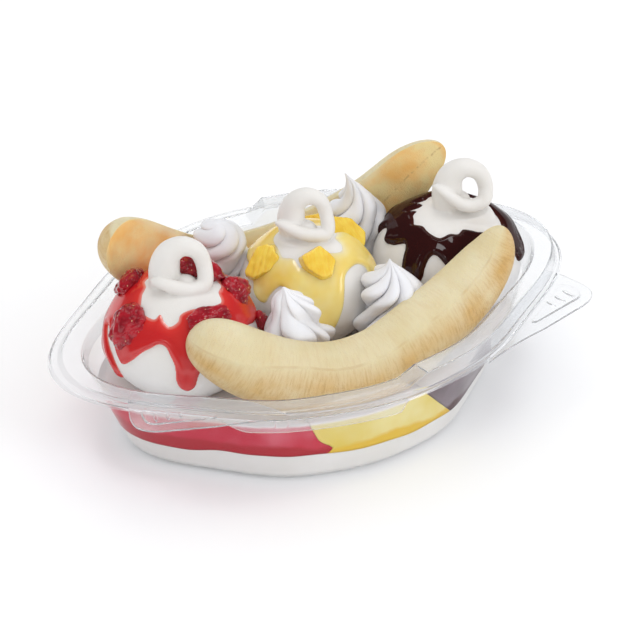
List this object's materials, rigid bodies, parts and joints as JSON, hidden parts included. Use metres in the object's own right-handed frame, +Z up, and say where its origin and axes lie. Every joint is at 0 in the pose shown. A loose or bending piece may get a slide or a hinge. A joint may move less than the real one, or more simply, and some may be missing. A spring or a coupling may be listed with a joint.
{
  "type": "banana split",
  "caption": "Banana split in a clear plastic boat: sauced soft-serve mounds with curls between banana halves, over coloured layers, with fruit and whipped cream.",
  "frame": {"origin": "middle of the bounding box, on the surface that the boat stands on", "axes": "+X along the boat towards the chocolate mound, +Y away from the side with the thumb tabs, +Z up"},
  "size_m": [0.2336, 0.1598, 0.0973],
  "materials": {
    "clear_plastic": "clear, slightly frosty formed plastic sheet",
    "soft_serve": "smooth, satin, slightly translucent soft serve",
    "strawberry": "glossy strawberry sauce",
    "pineapple": "glossy, clear pineapple sauce",
    "chocolate": "very glossy chocolate sauce",
    "banana": "satin peeled banana",
    "berry": "wet, glossy strawberry pieces with seeds",
    "pineapple_fruit": "wet, fibrous pineapple pieces",
    "whipped_cream": "satin whipped cream"
  },
  "bodies": {
    "root": {"boat": "clear_plastic", "soft_serve_bed": "soft_serve", "strawberry_layer": "strawberry", "pineapple_layer": "pineapple", "chocolate_layer": "chocolate", "banana_front": "banana", "banana_back": "banana", "berry_back_left": "berry", "berry_front_left": "berry", "berry_front": "berry", "berry_right": "berry", "berry_low_right": "berry", "berry_behind_curl": "berry", "pineapple_left": "pineapple_fruit", "pineapple_front": "pineapple_fruit", "pineapple_right": "pineapple_fruit", "pineapple_back": "pineapple_fruit", "strawberry_mound": "soft_serve", "pineapple_mound": "soft_serve", "chocolate_mound": "soft_serve", "cream_back_left": "whipped_cream", "cream_back_centre": "whipped_cream", "cream_front_left": "whipped_cream", "cream_front_right": "whipped_cream"}
  },
  "joints": []
}
